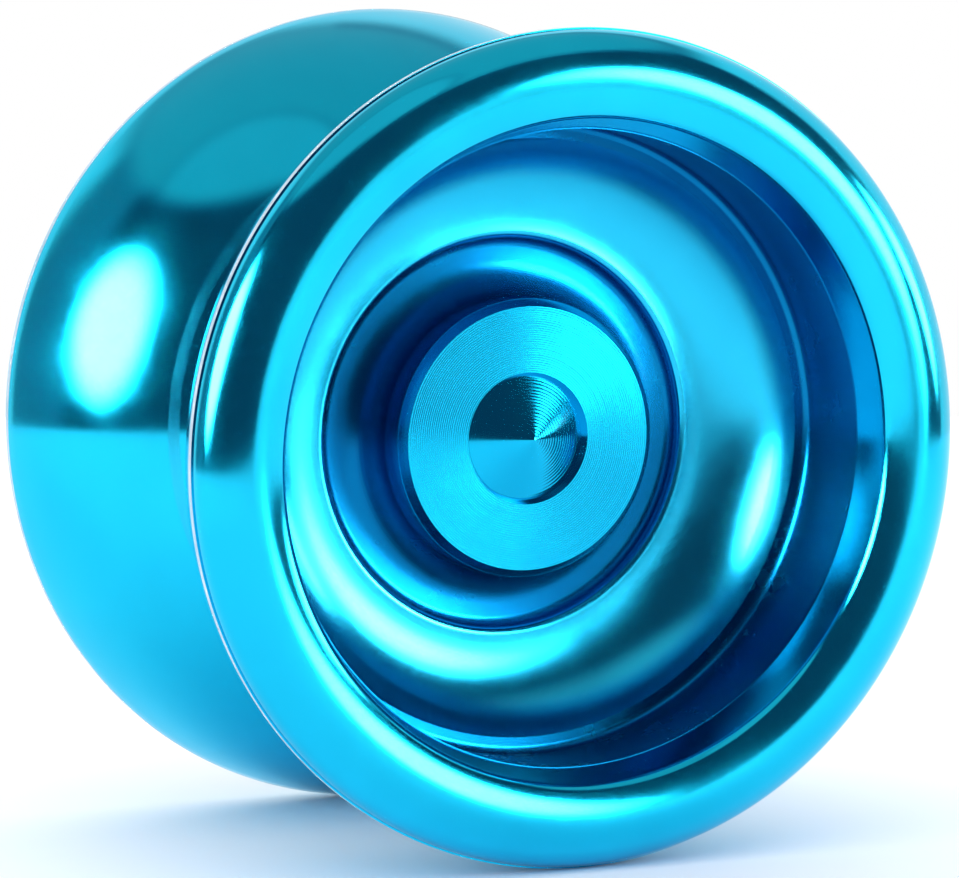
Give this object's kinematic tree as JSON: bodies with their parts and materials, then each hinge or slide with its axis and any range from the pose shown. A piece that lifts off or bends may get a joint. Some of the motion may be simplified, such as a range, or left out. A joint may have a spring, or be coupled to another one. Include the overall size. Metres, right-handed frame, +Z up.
{
  "type": "yo-yo",
  "caption": "Wide metal yo-yo: cupped, rounded halves with rolled lips on a grub-screw axle, with a shielded ball bearing for the string and silicone response rings.",
  "frame": {"origin": "centre of the ball bearing, midway between the halves on the spin axis", "axes": "+Y along the spin axis towards the back half; -Y towards the front half; +Z up, with the yo-yo standing on its rims or hanging from its string"},
  "size_m": [0.052, 0.0352, 0.052],
  "materials": {
    "anodised_aluminium": "polished and dyed blue-green anodised, with fine turning lines",
    "axle_steel": "black-oxide alloy steel, threaded",
    "silicone": "matt translucent white silicone",
    "bearing_steel": "ground and polished bearing steel",
    "cage_steel": "pressed stainless steel, tumbled",
    "shield_steel": "pressed stainless steel with concentric marks",
    "spring_steel": "spring wire",
    "ball_steel": "mirror-polished chrome steel"
  },
  "bodies": {
    "string_side": {"bearing_outer_race": "bearing_steel", "bearing_shield_front": "shield_steel", "bearing_shield_back": "shield_steel", "snap_ring_front": "spring_steel", "snap_ring_back": "spring_steel"},
    "spinner": {"back_half": "anodised_aluminium", "back_response_pad": "silicone", "axle": "axle_steel", "bearing_inner_race": "bearing_steel"},
    "cage": {"bearing_cage": "cage_steel"},
    "front_pad_carrier": {"front_response_pad": "silicone"},
    "front_half": {"front_half": "anodised_aluminium"},
    "ball_1": {"ball_1": "ball_steel"},
    "ball_2": {"ball_2": "ball_steel"},
    "ball_3": {"ball_3": "ball_steel"},
    "ball_4": {"ball_4": "ball_steel"},
    "ball_5": {"ball_5": "ball_steel"},
    "ball_6": {"ball_6": "ball_steel"},
    "ball_7": {"ball_7": "ball_steel"},
    "ball_8": {"ball_8": "ball_steel"}
  },
  "joints": [
    {"name": "spin", "type": "hinge", "parent": "string_side", "child": "spinner", "pos_m": [0, 0, 0], "axis": [0, 1, 0], "continuous": true},
    {"name": "cage_roll", "type": "hinge", "parent": "string_side", "child": "cage", "pos_m": [0, 0, 0], "axis": [0, 1, 0], "continuous": true},
    {"name": "front_half_travel", "type": "slide", "parent": "spinner", "child": "front_pad_carrier", "axis": [0, -1, 0], "range_m": [0, 0.00562]},
    {"name": "front_half_unscrew", "type": "hinge", "parent": "front_pad_carrier", "child": "front_half", "pos_m": [0, 0, 0], "axis": [0, -1, 0], "range_deg": [0, 2880]},
    {"name": "ball_1_roll", "type": "hinge", "parent": "cage", "child": "ball_1", "pos_m": [0, 0, 0.00476], "axis": [0, 1, 0], "continuous": true},
    {"name": "ball_2_roll", "type": "hinge", "parent": "cage", "child": "ball_2", "pos_m": [0.00337, 0, 0.00337], "axis": [0, 1, 0], "continuous": true},
    {"name": "ball_3_roll", "type": "hinge", "parent": "cage", "child": "ball_3", "pos_m": [0.00476, 0, 0], "axis": [0, 1, 0], "continuous": true},
    {"name": "ball_4_roll", "type": "hinge", "parent": "cage", "child": "ball_4", "pos_m": [0.00337, 0, -0.00337], "axis": [0, 1, 0], "continuous": true},
    {"name": "ball_5_roll", "type": "hinge", "parent": "cage", "child": "ball_5", "pos_m": [0, 0, -0.00476], "axis": [0, 1, 0], "continuous": true},
    {"name": "ball_6_roll", "type": "hinge", "parent": "cage", "child": "ball_6", "pos_m": [-0.00337, 0, -0.00337], "axis": [0, 1, 0], "continuous": true},
    {"name": "ball_7_roll", "type": "hinge", "parent": "cage", "child": "ball_7", "pos_m": [-0.00476, 0, 0], "axis": [0, 1, 0], "continuous": true},
    {"name": "ball_8_roll", "type": "hinge", "parent": "cage", "child": "ball_8", "pos_m": [-0.00337, 0, 0.00337], "axis": [0, 1, 0], "continuous": true}
  ],
  "couplings": [
    {"joint": "cage_roll", "follows": "spin", "ratio": 0.41667},
    {"joint": "front_half_travel", "follows": "front_half_unscrew", "m_per_rad": 0.00011141},
    {"joint": "ball_1_roll", "follows": "spin", "ratio": -2.9167},
    {"joint": "ball_2_roll", "follows": "spin", "ratio": -2.9167},
    {"joint": "ball_3_roll", "follows": "spin", "ratio": -2.9167},
    {"joint": "ball_4_roll", "follows": "spin", "ratio": -2.9167},
    {"joint": "ball_5_roll", "follows": "spin", "ratio": -2.9167},
    {"joint": "ball_6_roll", "follows": "spin", "ratio": -2.9167},
    {"joint": "ball_7_roll", "follows": "spin", "ratio": -2.9167},
    {"joint": "ball_8_roll", "follows": "spin", "ratio": -2.9167}
  ]
}
